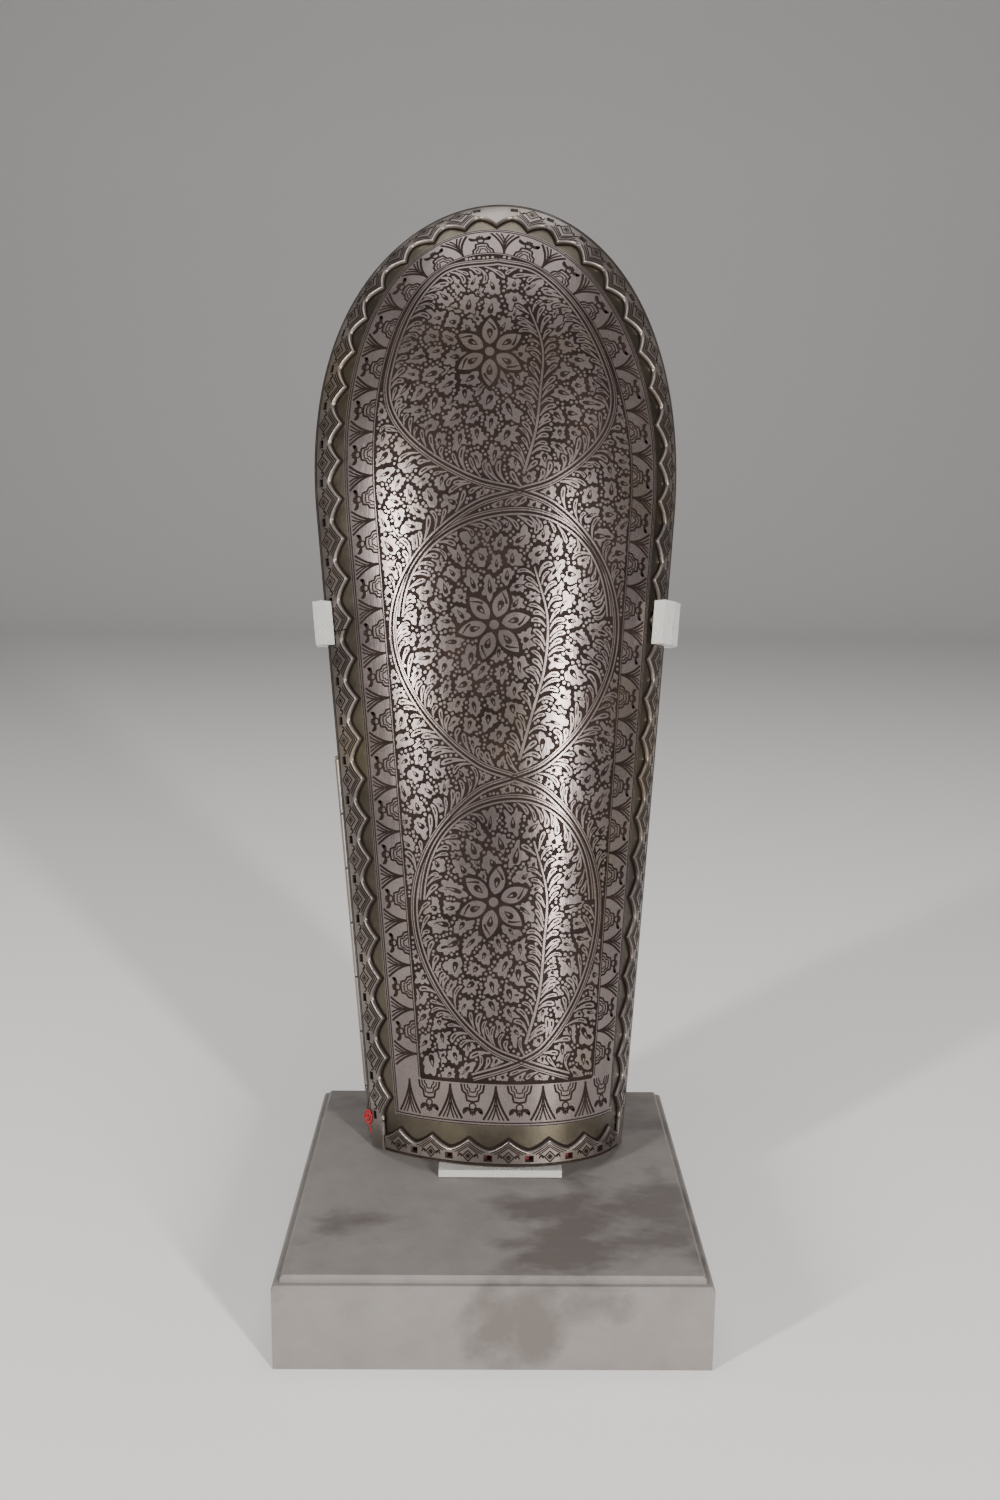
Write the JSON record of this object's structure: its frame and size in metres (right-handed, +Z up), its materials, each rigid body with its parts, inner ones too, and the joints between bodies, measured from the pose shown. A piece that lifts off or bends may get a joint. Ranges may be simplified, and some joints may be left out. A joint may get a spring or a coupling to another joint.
{
  "type": "arm guard on display stand",
  "caption": "Domed steel forearm guard with scalloped border strips, cloth lining and hinged wrist plates, held by a clear support on a square base.",
  "frame": {"origin": "centre of the display base's underside", "axes": "+Z up, +X to the viewer's right, the ridge of the guard faces -Y"},
  "size_m": [0.135, 0.1547, 0.3695],
  "materials": {
    "etched_steel": "worn bright steel with dark etched ornament",
    "border_steel": "darker worn steel with fine etched lines",
    "plain_steel": "plain worn steel",
    "hinge_steel": "dull worn steel",
    "lining_cloth": "padded crimson cloth",
    "clear_sheet": "clear acrylic sheet, slightly milky",
    "base_paint": "warm grey matt paint, slightly smudged"
  },
  "bodies": {
    "guard_and_stand": {"display_base": "base_paint", "support_upright": "clear_sheet", "support_clips": "clear_sheet", "main_plate": "etched_steel", "border_left": "border_steel", "border_right": "border_steel", "border_crown": "border_steel", "border_wrist": "border_steel", "lining": "lining_cloth", "hinge_leaf_left": "hinge_steel", "hinge_pin_left": "hinge_steel", "hinge_leaf_right": "hinge_steel", "hinge_pin_right": "hinge_steel"},
    "left_wrist_plate": {"wrist_plate_left": "plain_steel"},
    "right_wrist_plate": {"wrist_plate_right": "plain_steel"}
  },
  "joints": [
    {"name": "left_wrist_hinge", "type": "hinge", "parent": "guard_and_stand", "child": "left_wrist_plate", "pos_m": [-0.04562, 0.02412, 0.04996], "axis": [-0.0949, 0.1606, 0.9824], "range_deg": [0, 105]},
    {"name": "right_wrist_hinge", "type": "hinge", "parent": "guard_and_stand", "child": "right_wrist_plate", "pos_m": [0.04787, 0.02906, 0.04995], "axis": [-0.078, -0.17, -0.9824], "range_deg": [0, 105]}
  ]
}
